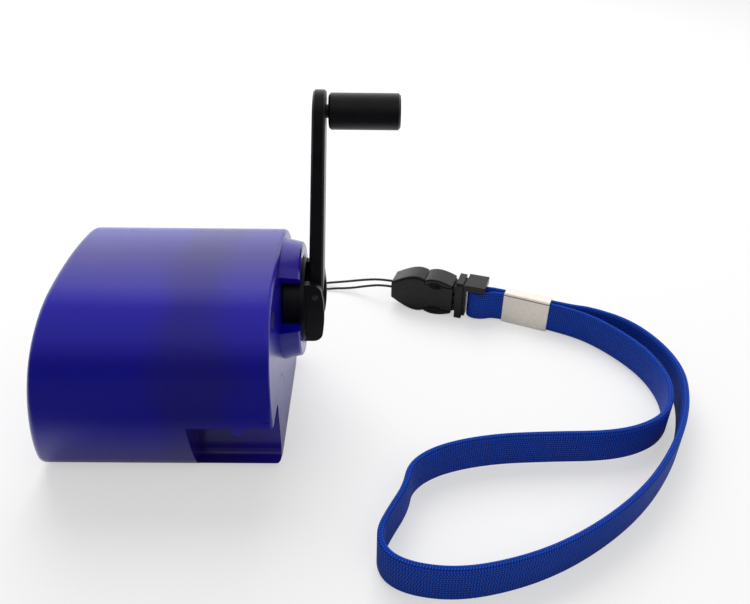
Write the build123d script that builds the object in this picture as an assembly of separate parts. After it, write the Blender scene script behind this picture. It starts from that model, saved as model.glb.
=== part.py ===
"""Pocket hand crank generator with a folding crank, a string loop, a buckle and a wrist strap.

Millimetres, +Z up. The origin is the centre of the flat base of the case. +X points out of
the end face that carries the crank, +Y is the side away from the handle pocket.
"""

import math
import os

from build123d import *

# --- Case ---------------------------------------------------------------------------------
CASE_LENGTH = 60.0
CASE_WIDTH = 60.0
CASE_HEIGHT = 48.6
BASE_WIDTH = 47.0
SIDE_R = 34.0
SIDE_ARC = 14.0
SHOULDER_R = 19.0
CREST_RISE = 0.97
BASE_ROUND = 10.0
REAR_LEAN = 9.7
REAR_ROUND = 1.8
WALL = 2.2
COVER_THICKNESS = 2.6
COVER_ROUND = 1.0
COVER_GAP = 0.12

FRONT = CASE_LENGTH / 2
REAR = -CASE_LENGTH / 2
COVER_X = FRONT - COVER_THICKNESS
SHOULDER_RISE = (SIDE_R - SHOULDER_R) * math.sin(math.radians(SIDE_ARC))
WIDEST_HEIGHT = CASE_HEIGHT - SHOULDER_R - SHOULDER_RISE - CREST_RISE

# --- Handle pocket in the near lower edge ---------------------------------------------------
POCKET_DEPTH = 20.0
POCKET_INNER_Y = -20.0
POCKET_FLOOR = 2.4
POCKET_ROOF = 19.4
POCKET_WALL = 1.6
POCKET_ROUND = 1.8
LIP_ROUND = 2.2
CORNER_EDGE_Y = -7.6
CORNER_EDGE_Z = 21.4
CORNER_ROUND = 7.0
CATCH_LENGTH = 3.4
CATCH_TIP = 1.6
CATCH_DROP = 2.4
CATCH_BACK = 1.4
CATCH_OFFSET = 10.0

# --- Crank ----------------------------------------------------------------------------------
CRANK_Y = 6.5
CRANK_DROP = 16.8
CRANK_Z = CASE_HEIGHT - CRANK_DROP
COLLAR_BASE_R = 15.9
COLLAR_TOP_R = 14.7
COLLAR_BORE_R = 11.3
COLLAR_HEIGHT = 4.8
NOTCH_FROM = 129.0
NOTCH_TO = 181.0
HUB_NECK_R = 9.7
HUB_FLANGE_R = 10.7
HUB_GAP = 0.3
HUB_SUNK = 0.3
FLANGE_THICKNESS = 1.1
CHEEK_THICKNESS = 2.0
CHEEK_GAP = 0.2
CHEEK_REACH = FRONT + 9.4
CHEEK_BULGE = 0.9
CHEEK_LOW = -8.8
CHEEK_TOP = 8.2
CHEEK_ROUND = 2.6
ARM_WIDTH = 9.4
ARM_SIDE_GAP = 0.15
PIN_OFFSET = 4.5
PIN_X = FRONT + 8.2
PIN_R = 0.9
ARM_REACH = 45.3
ARM_ROOT_THICKNESS = 3.6
ARM_TIP_THICKNESS = 2.9
ARM_OFFSET = 2.3
GRIP_R = 4.05
GRIP_LENGTH = 16.0
GRIP_GAP = 0.35
GRIP_CHAMFER = 0.5
GRIP_PIN_R = 1.5
GRIP_PIN_HEAD_R = 2.6
GRIP_PIN_HEAD = 1.1
RUNNING_GAP = 0.05

# --- Shafts and gears -----------------------------------------------------------------------
MODULE = 0.6
PRESSURE_ANGLE = 25.0
ADDENDUM = 0.9
DEDENDUM = 1.3
BACKLASH = 0.14
CENTRE_SLACK = 0.05
PINION_TEETH = 12
DRIVE_TEETH = 40
GEAR_1_TEETH = 36
GEAR_2_TEETH = 30
SHAFT_R = 2.0
AXLE_R = 1.0
ROTOR_SHAFT_R = 0.75
SLEEVE_R = 2.0
STAGE_1_ANGLE = 194.0
STAGE_2_ANGLE = -52.0
STAGE_3_ANGLE = 25.0
STACK_BACK = 30.0
STACK = FRONT - STACK_BACK
SHAFT_REAR = STACK + 11.0
LAYER_A = (STACK + 12.5, STACK + 16.0)
LAYER_B = (STACK + 5.0, STACK + 7.9)
LAYER_C = (STACK + 1.2, STACK + 3.6)
PINION_EXTRA = 0.25

# --- Gear frame -----------------------------------------------------------------------------
REAR_PLATE = (STACK - 1.0, STACK + 0.6)
FRONT_PLATE = (STACK + 17.6, STACK + 19.2)
PLATE_INSET = 2.7
POST_R = 2.6
SPACER_R = 2.2
SCREW_R = 1.0
SCREW_GAP = 0.12
FRAME_HEAD_R = 1.9
HEAD_HEIGHT = 1.3
FRAME_POST_ANGLES = (148.0, 25.0, -34.0)
FRAME_POST_GAP = 0.4
FRAME_SCREW_END = REAR_PLATE[0] - 5.0
CASE_POST_ANGLES = (137.2, 40.5, -24.0)
CASE_POST_SINK = 0.5
CASE_POST_REAR = COVER_X - 6.6
CASE_SCREW_LENGTH = 6.4
BUSH_R = 4.0
BUSH_BOSS_R = 6.2
BUSH_REAR = FRONT - 6.0
BUSH_FRONT = FRONT + 0.15

# --- Generator ------------------------------------------------------------------------------
CAN_R = 9.5
CAN_WALL = 0.9
CAN_LENGTH = 14.0
CAP_THICKNESS = 1.4
STATOR_SLOT_R = 7.4
STATOR_IN_R = 4.9
STATOR_SLOTS = 6
STATOR_SLOT_WIDTH = 1.8
MAGNET_R = 4.2
MAGNET_LENGTH = 9.0

# --- Circuit board and USB socket -------------------------------------------------------------
BOARD_Z = 6.2
BOARD_THICKNESS = 1.6
BOARD_X = (REAR + 4.4, REAR + 22.0)
BOARD_Y = (-19.0, 3.0)
RIB_WIDTH = 1.6
USB_Y = -8.0
USB_WIDTH = 13.2
USB_HEIGHT = 5.7
USB_LENGTH = 13.4
USB_SKIN = 0.35
USB_MOUTH_X = REAR + 2.4
USB_CLEARANCE = 0.2
TONGUE_WIDTH = 11.1
TONGUE_THICKNESS = 1.8
TONGUE_LENGTH = 8.9
CONTACT_WIDTH = 1.0
CONTACT_PITCH = 2.3
CAPACITOR_R = 2.8
CAPACITOR_LENGTH = 9.0
LIGHT_R = 1.5
LIGHT_HEIGHT = 3.6

# --- Lanyard eye, string, buckle, crimp and strap ---------------------------------------------
EYE_X = 15.0
EYE_Z = 14.0
EYE_REACH = 4.2
EYE_THICKNESS = 2.0
EYE_WIDTH = 6.4
EYE_HOLE_R = 1.5
STRING_R = 0.4
BUCKLE_X = 60.2
BUCKLE_Y = 54.9
BUCKLE_TURN = -18.0
BUCKLE_LENGTH = 20.5
BUCKLE_HEIGHT = 13.2
BUCKLE_NOSE = 6.2
BUCKLE_THICKNESS = 7.8
BUCKLE_WALL = 1.3
BUCKLE_EDGE = 0.8
STRING_SPREAD = 1.1
STRING_GRIP = 1.5
CLIP_GAP = 0.2
FLANGE_FROM = 21.6
FLANGE_TO = 23.8
BAR_AT = 28.0
BAR_R = 1.2
ARM_END = 31.0
ARM_NOTCH = 0.8
PAD_RISE = 2.2
PAD_CREST = 13.6
PAD_FALL = 17.0
SCOOP_AT = 14.8
SCOOP_LENGTH = 4.6
SCOOP_TALL = 2.3
SCOOP_DEPTH = 0.8
CLIP_ARM_HEIGHT = 2.2
STRAP_THICKNESS = 1.6
STRAP_WIDTH = 10.0
LAYER_GAP = 0.1
CRIMP_X = 95.8
CRIMP_Y = 44.6
CRIMP_TURN = -24.0
CRIMP_LENGTH = 14.6
CRIMP_SKIN = 0.5
CRIMP_ROUND = 0.8
BAR_SLACK = 0.1


def tube_x(r, x0, x1, y, z):
    """Round bar along X from x0 to x1."""
    bar = Cylinder(r, x1 - x0, align=(Align.CENTER, Align.CENTER, Align.MIN))
    return Pos(x0, y, z) * Rot(0, 90, 0) * bar


def block(x0, x1, y0, y1, z0, z1):
    """Box between two corners."""
    box = Box(x1 - x0, y1 - y0, z1 - z0, align=(Align.MIN, Align.MIN, Align.MIN))
    return Pos(x0, y0, z0) * box


def arc_frame():
    """Centres, radii and end angles of the four arcs on one side of the end view."""
    half = CASE_WIDTH / 2
    side = (half - SIDE_R, WIDEST_HEIGHT)
    turn = math.radians(SIDE_ARC)
    shoulder = (side[0] + (SIDE_R - SHOULDER_R) * math.cos(turn),
                side[1] + SHOULDER_RISE)
    rise = CREST_RISE
    reach = (shoulder[0] ** 2 + rise**2) / (2 * rise)
    crown = (0.0, CASE_HEIGHT - reach - SHOULDER_R)
    crown_turn = math.atan2(reach - rise, shoulder[0])
    return side, turn, shoulder, crown, reach + SHOULDER_R, crown_turn


def lower_arc():
    """Radius of the arc from the foot up to the widest line, where it stands upright."""
    run = (CASE_WIDTH - BASE_WIDTH) / 2
    return (run**2 + WIDEST_HEIGHT**2) / (2 * run)


def section(inset=0.0):
    """End view of the case: a flat base, flared sides and one high arch, all of arcs."""
    side, turn, shoulder, crown, crown_r, crown_turn = arc_frame()
    low_r = lower_arc()
    low = (CASE_WIDTH / 2 - low_r, WIDEST_HEIGHT)
    low_turn = -math.asin((WIDEST_HEIGHT - inset) / (low_r - inset))

    def at(centre, r, angle):
        return (centre[0] + (r - inset) * math.cos(angle), centre[1] + (r - inset) * math.sin(angle))

    foot, low_mid = at(low, low_r, low_turn), at(low, low_r, low_turn / 2)
    wide, side_mid, bend = at(side, SIDE_R, 0), at(side, SIDE_R, turn / 2), at(side, SIDE_R, turn)
    bend_mid = at(shoulder, SHOULDER_R, (turn + crown_turn) / 2)
    crest = at(crown, crown_r, crown_turn)
    stops = [(foot, low_mid, wide), (wide, side_mid, bend), (bend, bend_mid, crest)]
    edges = [ThreePointArc(*points) for points in stops]
    edges += [ThreePointArc(*[(-y, z) for y, z in points]) for points in stops]
    edges.append(ThreePointArc(crest, (0, CASE_HEIGHT - inset), (-crest[0], crest[1])))
    edges.append(Line((-foot[0], foot[1]), foot))
    face = make_face(Wire(edges))
    corners = [v for v in face.vertices() if abs(v.Y - inset) < 0.01]
    return fillet(corners, BASE_ROUND - inset)


def rim_point(angle, inset):
    """Point inside the end view's outline by inset, seen from the widest line's middle."""
    side, turn, shoulder, crown, crown_r, crown_turn = arc_frame()
    low_r = lower_arc()
    low = (CASE_WIDTH / 2 - low_r, WIDEST_HEIGHT)
    y, z = abs(math.cos(math.radians(angle))), math.sin(math.radians(angle))
    arcs = [(low, low_r, -math.pi / 2, 0.0), (side, SIDE_R, 0.0, turn),
            (shoulder, SHOULDER_R, turn, crown_turn), (crown, crown_r, crown_turn, math.pi / 2)]
    for centre, r, start, end in arcs:
        dy, dz = centre[0], centre[1] - WIDEST_HEIGHT
        along = y * dy + z * dz
        t = along + math.sqrt(along**2 - dy**2 - dz**2 + (r - inset) ** 2)
        if start - 1e-6 <= math.atan2(t * z - dz, t * y - dy) <= end + 1e-6:
            break
    return (math.copysign(t * y, 90 - angle), WIDEST_HEIGHT + t * z)


FRAME_POSTS = [rim_point(a, WALL + POST_R + FRAME_POST_GAP) for a in FRAME_POST_ANGLES]
CASE_POSTS = [rim_point(a, WALL + POST_R - CASE_POST_SINK) for a in CASE_POST_ANGLES]


def along_x(sketch, x0, x1):
    """Extrudes a sketch drawn in Y and Z from x0 to x1."""
    return extrude(Plane.YZ.offset(x0) * sketch, x1 - x0)


def lean_cut(solid, offset=0.0):
    """Cuts the leaning rear end, offset forwards along its normal."""
    normal = Vector(CASE_HEIGHT, 0, -REAR_LEAN).normalized()
    plane = Plane(origin=Vector(REAR, 0, 0) + normal * offset, z_dir=normal)
    return split(solid, bisect_by=plane, keep=Keep.TOP)


def corner_outline(grow=0.0):
    """Part of the front face that belongs to the case, round the handle pocket."""
    y0, z0 = -CASE_WIDTH, -5.0
    y1, z1 = CORNER_EDGE_Y + grow, CORNER_EDGE_Z + grow
    shape = Pos((y0 + y1) / 2, (z0 + z1) / 2) * Rectangle(y1 - y0, z1 - z0)
    corner = [v for v in shape.vertices() if v.X > y1 - 0.01 and v.Y > z1 - 0.01]
    return fillet(corner, CORNER_ROUND + grow)


def pocket_cavity():
    """The space that takes the folded handle, open to the side and to the front."""
    y0 = -CASE_WIDTH
    height = POCKET_ROOF - POCKET_FLOOR
    shape = Pos((y0 + POCKET_INNER_Y) / 2, POCKET_FLOOR + height / 2) * Rectangle(
        POCKET_INNER_Y - y0, height
    )
    inner = [v for v in shape.vertices() if v.X > POCKET_INNER_Y - 0.01]
    shape = fillet(inner, POCKET_ROUND)
    return along_x(shape, FRONT - POCKET_DEPTH, FRONT + 5)


def lip_corner():
    """What the round on the front end of the pocket's lower lip takes away."""
    x0 = FRONT - LIP_ROUND
    corner = block(x0, FRONT + 1, -CASE_WIDTH, POCKET_INNER_Y, -1, LIP_ROUND)
    return corner - Pos(x0, -CASE_WIDTH / 2, LIP_ROUND) * Rot(90, 0, 0) * Cylinder(
        LIP_ROUND, 2 * CASE_WIDTH)


def handle_catch(outer):
    """Small tapered tab that hangs from the pocket's roof behind the handle."""
    x1 = FRONT - CATCH_OFFSET + CATCH_LENGTH
    x0 = FRONT - CATCH_OFFSET
    inset = (CATCH_LENGTH - CATCH_TIP) / 2
    low = POCKET_ROOF - CATCH_DROP
    points = [(x0, POCKET_ROOF + 1), (x1, POCKET_ROOF + 1), (x1, POCKET_ROOF)]
    points += [(x1 - inset, low), (x0 + inset, low), (x0, POCKET_ROOF)]
    face = make_face(Wire([Line(a, b) for a, b in zip(points, points[1:] + points[:1])]))
    tab = extrude(Plane.XZ.offset(CASE_WIDTH / 2) * face, -CASE_WIDTH / 2)
    skin = outer - along_x(section(CATCH_BACK), REAR - 10, FRONT + 10)
    return tab & skin & block(REAR, FRONT, -CASE_WIDTH, POCKET_INNER_Y, 0, CASE_HEIGHT)


def case_body():
    """Main case: the moulded shell with its pocket, posts, ribs and lanyard eye."""
    outer = lean_cut(along_x(section(), REAR - 1, COVER_X))
    rear_edges = [e for e in outer.edges() if e.center().X < REAR + REAR_LEAN + 0.1
                  and e.bounding_box().max.X < REAR + REAR_LEAN + 0.5]
    outer = fillet(rear_edges, REAR_ROUND)
    envelope = outer + end_plate(COVER_X - 1)
    inner = lean_cut(along_x(section(WALL), REAR - 1, COVER_X + 1), WALL)
    shell = outer - inner
    y0 = -CASE_WIDTH
    lining = block(FRONT - POCKET_DEPTH - POCKET_WALL, COVER_X, y0,
                   POCKET_INNER_Y + POCKET_WALL, 0, POCKET_ROOF + POCKET_WALL)
    shell += lining & outer
    shell += envelope & along_x(corner_outline(), COVER_X - 0.5, FRONT)
    for y, z in FRAME_POSTS:
        shell += tube_x(POST_R, REAR, REAR_PLATE[0], y, z) & outer
    for y, z in CASE_POSTS:
        shell += tube_x(POST_R, CASE_POST_REAR, COVER_X, y, z) & outer
    for y in (BOARD_Y[0] + 2.4, BOARD_Y[1] - 2.4):
        rib = block(BOARD_X[0], BOARD_X[1], y - RIB_WIDTH / 2, y + RIB_WIDTH / 2, 1.0, BOARD_Z)
        shell += rib & outer
    shell -= pocket_cavity()
    shell -= lip_corner()
    shell += handle_catch(envelope)
    for y, z in FRAME_POSTS:
        shell -= tube_x(SCREW_R, FRAME_SCREW_END, REAR_PLATE[0] + 1, y, z)
    for y, z in CASE_POSTS:
        shell -= tube_x(SCREW_R, CASE_POST_REAR - 1, COVER_X + 1, y, z)
    slot_y, slot_z = USB_WIDTH / 2 + USB_CLEARANCE, BOARD_Z + BOARD_THICKNESS
    shell -= block(REAR - 1, USB_MOUTH_X + 6, USB_Y - slot_y, USB_Y + slot_y,
                   slot_z - USB_CLEARANCE, slot_z + USB_HEIGHT + USB_CLEARANCE)
    return shell + lanyard_eye(outer)


def lanyard_eye(outer):
    """Flat lug on the far side of the case with the hole for the string."""
    wall_y = side_y(EYE_Z)
    plate = Pos(EYE_X, wall_y + EYE_REACH / 2 - 2) * RectangleRounded(
        EYE_WIDTH, EYE_REACH + 4, EYE_WIDTH / 2 - 0.6)
    lug = extrude(Plane.XY.offset(EYE_Z - EYE_THICKNESS / 2) * plate, EYE_THICKNESS)
    hole = Pos(EYE_X, wall_y + EYE_REACH - 2.6, EYE_Z) * Cylinder(EYE_HOLE_R, 3 * EYE_THICKNESS)
    return lug - outer - hole


def side_y(z):
    """How far the lower side stands out at the height z."""
    low_r = lower_arc()
    return CASE_WIDTH / 2 - low_r + math.sqrt(low_r**2 - (WIDEST_HEIGHT - z) ** 2)


def end_plate(x0):
    """Plate of the whole end view from x0 to the front face, with its rounded rim."""
    plate = along_x(section(), x0, FRONT)
    rim = [e for e in plate.edges() if abs(e.center().X - FRONT) < 0.01]
    return fillet(rim, COVER_ROUND)


def front_cover():
    """End cover with the raised collar about the crank and its notch."""
    plate = end_plate(COVER_X)
    plate -= along_x(corner_outline(COVER_GAP), COVER_X - 1, FRONT + 1)
    collar = Pos(FRONT - 0.5, CRANK_Y, CRANK_Z) * Rot(0, 90, 0) * Cone(
        COLLAR_BASE_R, COLLAR_TOP_R, COLLAR_HEIGHT + 0.5,
        align=(Align.CENTER, Align.CENTER, Align.MIN))
    collar -= tube_x(COLLAR_BORE_R, FRONT, FRONT + 10, CRANK_Y, CRANK_Z)
    top_edges = [e for e in collar.edges() if abs(e.center().X - FRONT - COLLAR_HEIGHT) < 0.01]
    collar = chamfer(top_edges, 0.4)
    collar -= collar_notch()
    plate += collar
    plate += tube_x(BUSH_BOSS_R, BUSH_REAR, COVER_X + 0.5, CRANK_Y, CRANK_Z)
    plate -= tube_x(BUSH_R, BUSH_REAR - 1, FRONT + 1, CRANK_Y, CRANK_Z)
    for y, z in CASE_POSTS:
        plate -= tube_x(SCREW_R + SCREW_GAP, COVER_X - 1, FRONT + 1, y, z)
        plate -= tube_x(FRAME_HEAD_R + SCREW_GAP, FRONT - HEAD_HEIGHT, FRONT + 1, y, z)
    return plate


def collar_notch():
    """Wedge cut out of the collar on the near side."""
    reach = 2 * COLLAR_BASE_R
    rays = [(0.0, 0.0)]
    for angle in (NOTCH_FROM, NOTCH_TO):
        a = math.radians(angle)
        rays.append((reach * math.cos(a), reach * math.sin(a)))
    wedge = make_face(Wire([Line(a, b) for a, b in zip(rays, rays[1:] + rays[:1])]))
    return along_x(Pos(CRANK_Y, CRANK_Z) * wedge, FRONT, FRONT + 2 * COLLAR_HEIGHT)


def screws(places, x_head, length, head_r):
    """Group of pan head screws along X, their heads at x_head."""
    group = []
    for y, z in places:
        shank = tube_x(SCREW_R, x_head - length, x_head + 0.1, y, z)
        head = tube_x(head_r, x_head, x_head + HEAD_HEIGHT, y, z)
        slot = block(x_head + HEAD_HEIGHT - 0.5, x_head + HEAD_HEIGHT + 1, y - 0.25, y + 0.25,
                     z - head_r, z + head_r)
        group.append(shank + head - slot)
    return Compound(children=group)


# --- Gears ----------------------------------------------------------------------------------
def involute(base_r, r):
    """Angle that an involute has turned by when it reaches the radius r."""
    tan = math.sqrt(max((r / base_r) ** 2 - 1, 0))
    return tan - math.atan(tan)


def gear_outline(teeth, phase):
    """Involute spur gear in Y and Z with one tooth centred on phase degrees."""
    pitch_r = MODULE * teeth / 2
    base_r = pitch_r * math.cos(math.radians(PRESSURE_ANGLE))
    root_r, tip_r = pitch_r - DEDENDUM * MODULE, pitch_r + ADDENDUM * MODULE
    half = (math.pi * MODULE / 2 - BACKLASH) / 2 / pitch_r + involute(base_r, pitch_r)
    start_r = max(base_r, root_r)
    radii = [start_r + (tip_r - start_r) * k / 2 for k in range(3)]
    points = []
    for tooth in range(teeth):
        middle = math.radians(phase) + 2 * math.pi * tooth / teeth
        flank = [(r, half - involute(base_r, r)) for r in radii]
        foot = [(root_r, flank[0][1])] if root_r < start_r - 0.01 else []
        rising = foot + flank
        falling = [(r, -a) for r, a in reversed(rising)]
        points += [(r, middle - a) for r, a in rising] + [(r, middle - a) for r, a in falling]
    return [(r * math.cos(a), r * math.sin(a)) for r, a in points]


def gear(teeth, phase, x0, x1, centre):
    """Spur gear blank with teeth between x0 and x1."""
    face = make_face(Polyline(*gear_outline(teeth, phase), close=True))
    return along_x(Pos(*centre) * face, x0, x1)


def stage(centre, teeth, angle):
    """Place of a pinion's axis that meshes with a wheel of so many teeth."""
    distance = MODULE * (teeth + PINION_TEETH) / 2 + CENTRE_SLACK
    a = math.radians(angle)
    return (centre[0] + distance * math.cos(a), centre[1] + distance * math.sin(a))


AXIS_0 = (CRANK_Y, CRANK_Z)
AXIS_1 = stage(AXIS_0, DRIVE_TEETH, STAGE_1_ANGLE)
AXIS_2 = stage(AXIS_1, GEAR_1_TEETH, STAGE_2_ANGLE)
AXIS_3 = stage(AXIS_2, GEAR_2_TEETH, STAGE_3_ANGLE)


def meshing(angle):
    """Phase of a pinion whose gap faces the wheel that drives it."""
    return angle + 180 + 180 / PINION_TEETH


def lightening(count, ring_r, hole_r, x0, x1, centre):
    """Ring of round holes through a wheel's web."""
    holes = []
    for k in range(count):
        a = 2 * math.pi * k / count
        holes.append(tube_x(hole_r, x0 - 1, x1 + 1, centre[0] + ring_r * math.cos(a),
                            centre[1] + ring_r * math.sin(a)))
    return holes


def drive_gear():
    wheel = gear(DRIVE_TEETH, STAGE_1_ANGLE, *LAYER_A, AXIS_0)
    wheel += tube_x(2 * SHAFT_R, LAYER_A[0] - 1.0, LAYER_A[1] + 1.0, *AXIS_0)
    for hole in lightening(5, 7.2, 2.3, *LAYER_A, AXIS_0):
        wheel -= hole
    return wheel - tube_x(SHAFT_R, LAYER_A[0] - 2, LAYER_A[1] + 2, *AXIS_0)


def compound_gear(teeth, phase, wheel_x, pinion_angle, pinion_x, centre):
    """Wheel and pinion in one moulding on a sleeve that turns on its axle."""
    body = gear(teeth, phase, *wheel_x, centre)
    for hole in lightening(4, MODULE * teeth / 2 * 0.6, 2.0, *wheel_x, centre):
        body -= hole
    low, high = pinion_x[0] - PINION_EXTRA, pinion_x[1] + PINION_EXTRA
    body += gear(PINION_TEETH, meshing(pinion_angle), low, high, centre)
    body += tube_x(SLEEVE_R, REAR_PLATE[1] + 0.2, FRONT_PLATE[0] - 0.2, *centre)
    return body - tube_x(AXLE_R + RUNNING_GAP, REAR_PLATE[0] - 1, FRONT_PLATE[1] + 1, *centre)


def axle(centre):
    return tube_x(AXLE_R, REAR_PLATE[0], FRONT_PLATE[1], *centre)


def frame_plate(span):
    """Plate of the gear frame with the axle and screw holes."""
    plate = along_x(section(PLATE_INSET), *span)
    corner = block(span[0] - 1, span[1] + 1, -CASE_WIDTH, POCKET_INNER_Y + POCKET_WALL + 0.6,
                   -1, POCKET_ROOF + POCKET_WALL + 0.6)
    if span[0] > FRONT - POCKET_DEPTH - POCKET_WALL:
        plate -= corner
    for centre in (AXIS_1, AXIS_2):
        plate -= tube_x(AXLE_R, span[0] - 1, span[1] + 1, *centre)
    for y, z in FRAME_POSTS:
        plate -= tube_x(SCREW_R + SCREW_GAP, span[0] - 1, span[1] + 1, y, z)
    return plate


def front_plate():
    hole = tube_x(SHAFT_R + RUNNING_GAP, FRONT_PLATE[0] - 1, FRONT_PLATE[1] + 1, *AXIS_0)
    return frame_plate(FRONT_PLATE) - hole


def rear_plate():
    hole = tube_x(3 * ROTOR_SHAFT_R, REAR_PLATE[0] - 1, REAR_PLATE[1] + 1, *AXIS_3)
    return frame_plate(REAR_PLATE) - hole


def frame_spacers():
    tubes = []
    for y, z in FRAME_POSTS:
        tube = tube_x(SPACER_R, REAR_PLATE[1], FRONT_PLATE[0], y, z)
        tubes.append(tube - tube_x(SCREW_R + SCREW_GAP, REAR_PLATE[0], FRONT_PLATE[1], y, z))
    return Compound(children=tubes)


# --- Generator ------------------------------------------------------------------------------
CAN_FRONT = REAR_PLATE[0]
CAN_REAR = CAN_FRONT - CAN_LENGTH


def generator_housing():
    """Steel can, closed at the rear, with its rear bearing hole."""
    can = tube_x(CAN_R, CAN_REAR, CAN_FRONT - CAP_THICKNESS, *AXIS_3)
    can -= tube_x(CAN_R - CAN_WALL, CAN_REAR + CAN_WALL, CAN_FRONT, *AXIS_3)
    return can - tube_x(ROTOR_SHAFT_R + RUNNING_GAP, CAN_REAR - 1, CAN_REAR + 2, *AXIS_3)


def generator_cap():
    """Front cap of the can, held against the rear plate, with the front bearing."""
    cap = tube_x(CAN_R, CAN_FRONT - CAP_THICKNESS, CAN_FRONT, *AXIS_3)
    return cap - tube_x(ROTOR_SHAFT_R + RUNNING_GAP, CAN_REAR, CAN_FRONT + 1, *AXIS_3)


def stator():
    """Wound stator ring with slots between its poles."""
    x0, x1 = CAN_REAR + CAN_WALL + 1.5, CAN_FRONT - CAP_THICKNESS - 1.5
    ring = tube_x(CAN_R - CAN_WALL, x0, x1, *AXIS_3) - tube_x(STATOR_IN_R, x0 - 1, x1 + 1, *AXIS_3)
    for k in range(STATOR_SLOTS):
        slot = block(x0 - 1, x1 + 1, -STATOR_SLOT_WIDTH / 2, STATOR_SLOT_WIDTH / 2,
                     0, STATOR_SLOT_R)
        ring -= Pos(0, *AXIS_3) * Rot(360 * k / STATOR_SLOTS, 0, 0) * slot
    return ring


def rotor_magnet():
    middle = (CAN_REAR + CAN_FRONT) / 2
    magnet = tube_x(MAGNET_R, middle - MAGNET_LENGTH / 2, middle + MAGNET_LENGTH / 2, *AXIS_3)
    return magnet - tube_x(ROTOR_SHAFT_R, CAN_REAR, CAN_FRONT, *AXIS_3)


def rotor_shaft():
    return tube_x(ROTOR_SHAFT_R, CAN_REAR - 0.6, LAYER_C[1] + 0.8, *AXIS_3)


def rotor_pinion():
    pinion = gear(PINION_TEETH, meshing(STAGE_3_ANGLE), LAYER_C[0] - PINION_EXTRA,
                  LAYER_C[1] + PINION_EXTRA, AXIS_3)
    return pinion - tube_x(ROTOR_SHAFT_R, LAYER_C[0] - 2, LAYER_C[1] + 2, *AXIS_3)


# --- Circuit board --------------------------------------------------------------------------
BOARD_TOP = BOARD_Z + BOARD_THICKNESS


def circuit_board():
    return block(*BOARD_X, *BOARD_Y, BOARD_Z, BOARD_TOP)


def usb_shell():
    """Folded steel shell of a USB A socket, open at the mouth."""
    x1 = USB_MOUTH_X + USB_LENGTH
    y0, y1 = USB_Y - USB_WIDTH / 2, USB_Y + USB_WIDTH / 2
    shell = block(USB_MOUTH_X, x1, y0, y1, BOARD_TOP, BOARD_TOP + USB_HEIGHT)
    return shell - block(USB_MOUTH_X - 1, x1 - USB_SKIN, y0 + USB_SKIN, y1 - USB_SKIN,
                         BOARD_TOP + USB_SKIN, BOARD_TOP + USB_HEIGHT - USB_SKIN)


def usb_tongue():
    """Insulating tongue and back block of the socket."""
    x1 = USB_MOUTH_X + USB_LENGTH - USB_SKIN
    top = BOARD_TOP + USB_HEIGHT - USB_SKIN
    back = block(x1 - 3.5, x1, USB_Y - TONGUE_WIDTH / 2, USB_Y + TONGUE_WIDTH / 2,
                 BOARD_TOP + USB_SKIN, top)
    return back + block(x1 - 3.5 - TONGUE_LENGTH + 0.5, x1 - 3, USB_Y - TONGUE_WIDTH / 2,
                        USB_Y + TONGUE_WIDTH / 2, top - 0.2 - TONGUE_THICKNESS, top - 0.2)


def usb_contacts():
    """Four contact strips under the tongue."""
    x1 = USB_MOUTH_X + USB_LENGTH - USB_SKIN - 3.5
    z1 = BOARD_TOP + USB_HEIGHT - USB_SKIN - 0.2 - TONGUE_THICKNESS
    strips = []
    for k in range(4):
        y = USB_Y + (k - 1.5) * CONTACT_PITCH
        strips.append(block(x1 - TONGUE_LENGTH + 1.5, x1, y - CONTACT_WIDTH / 2,
                            y + CONTACT_WIDTH / 2, z1 - 0.2, z1))
    return Compound(children=strips)


def capacitor():
    can = Rot(90, 0, 0) * Cylinder(CAPACITOR_R, CAPACITOR_LENGTH)
    middle = BOARD_Y[0] + 1.5 + CAPACITOR_LENGTH / 2
    return Pos(BOARD_X[1] - CAPACITOR_R - 0.2, middle, BOARD_TOP + CAPACITOR_R) * can


def indicator_light():
    """Round lamp that stands on the board near the rear."""
    base = Pos(BOARD_X[0] + 3, BOARD_Y[1] - 2, BOARD_TOP)
    body = base * Cylinder(LIGHT_R, LIGHT_HEIGHT, align=(Align.CENTER, Align.CENTER, Align.MIN))
    return body + base * Pos(0, 0, LIGHT_HEIGHT) * Sphere(LIGHT_R)


# --- Crank ----------------------------------------------------------------------------------
HUB_FROM = FRONT + HUB_GAP
HUB_FLANGE_X = FRONT + COLLAR_HEIGHT - HUB_SUNK
HUB_FLOOR = HUB_FLANGE_X + FLANGE_THICKNESS
SHAFT_FRONT = HUB_FLOOR - HEAD_HEIGHT
SLOT_HALF = ARM_WIDTH / 2 + ARM_SIDE_GAP
CHEEK_HALF = SLOT_HALF + CHEEK_THICKNESS


def crank_shaft():
    shaft = tube_x(SHAFT_R, SHAFT_REAR, SHAFT_FRONT, *AXIS_0)
    return shaft - tube_x(SCREW_R, SHAFT_FRONT - 6, SHAFT_FRONT + 1, *AXIS_0)


def crank_bush():
    """Plain flanged bush that carries the crank shaft in the cover."""
    bush = tube_x(BUSH_R, BUSH_REAR, BUSH_FRONT, *AXIS_0)
    bush += tube_x(BUSH_R + 1.5, BUSH_REAR - 0.8, BUSH_REAR, *AXIS_0)
    return bush - tube_x(SHAFT_R + RUNNING_GAP, BUSH_REAR - 2, BUSH_FRONT + 1, *AXIS_0)


def cheek_profile():
    """Side view of the hub's two cheeks in X and Z, with their bulged outer edge."""
    low, top, reach = CHEEK_LOW, CHEEK_TOP, CHEEK_REACH
    x0 = FRONT + COLLAR_HEIGHT + CHEEK_GAP
    edges = [
        Line((x0, low), (reach, low)),
        ThreePointArc((reach, low), (reach + CHEEK_BULGE, (low + top) / 2), (reach, top)),
        Line((reach, top), (x0, top)),
        Line((x0, top), (x0, low)),
    ]
    face = make_face(Wire(edges))
    outer = [v for v in face.vertices() if v.X > reach - 0.01]
    return fillet(outer, CHEEK_ROUND)


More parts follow.
